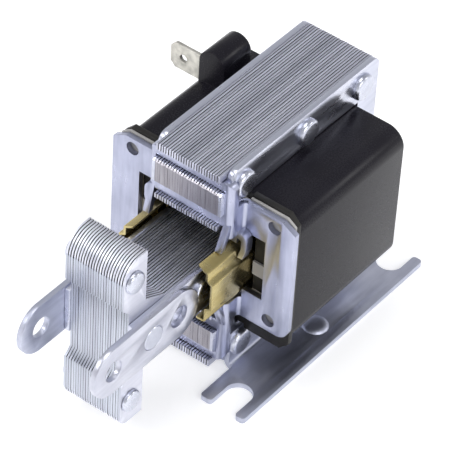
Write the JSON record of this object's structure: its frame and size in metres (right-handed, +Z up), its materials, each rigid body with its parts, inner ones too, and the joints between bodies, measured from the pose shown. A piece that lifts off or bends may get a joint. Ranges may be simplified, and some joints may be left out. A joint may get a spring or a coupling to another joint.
{
  "type": "push pull solenoid",
  "caption": "Laminated box-frame solenoid with a T-shaped sliding plunger, clevis links, brass guides, a coil with quick-connect tabs and slotted feet.",
  "frame": {"origin": "centre of the four foot slots, on the plane that the feet stand on", "axes": "+X along the plunger, out of the frame; +Y to the side without terminals; +Z up from the feet"},
  "size_m": [0.0939, 0.0506, 0.0531],
  "materials": {
    "lamination_steel": "cut edges of electrical steel sheets, thin zinc bloom",
    "zinc_steel": "bright bluish zinc plate",
    "rivet_steel": "zinc plate, set heads",
    "guide_brass": "bare rolled brass",
    "bobbin_plastic": "moulded nylon",
    "winding_copper": "enamelled copper wire",
    "cover_plastic": "satin black moulding",
    "insulation_paper": "grey insulating paper",
    "terminal_tin": "dull tin plate"
  },
  "bodies": {
    "frame": {"frame_stack": "lamination_steel", "side_plate_right": "zinc_steel", "side_plate_left": "zinc_steel", "front_plate": "zinc_steel", "foot_right": "zinc_steel", "foot_left": "zinc_steel", "frame_rivets": "rivet_steel", "guide_right": "guide_brass", "guide_left": "guide_brass", "bobbin": "bobbin_plastic", "coil_winding": "winding_copper", "coil_cover": "cover_plastic", "front_insulator": "insulation_paper", "rear_insulator": "insulation_paper", "terminal_upper": "terminal_tin", "terminal_lower": "terminal_tin"},
    "plunger": {"plunger_stack": "lamination_steel", "side_bar_right": "zinc_steel", "side_bar_left": "zinc_steel", "link_right": "zinc_steel", "link_left": "zinc_steel", "head_rivets": "rivet_steel", "stem_rivets": "rivet_steel", "link_rivet": "rivet_steel"}
  },
  "joints": [
    {"name": "plunger_slide", "type": "slide", "parent": "frame", "child": "plunger", "axis": [-1, 0, 0], "range_m": [0, 0.0203]}
  ]
}
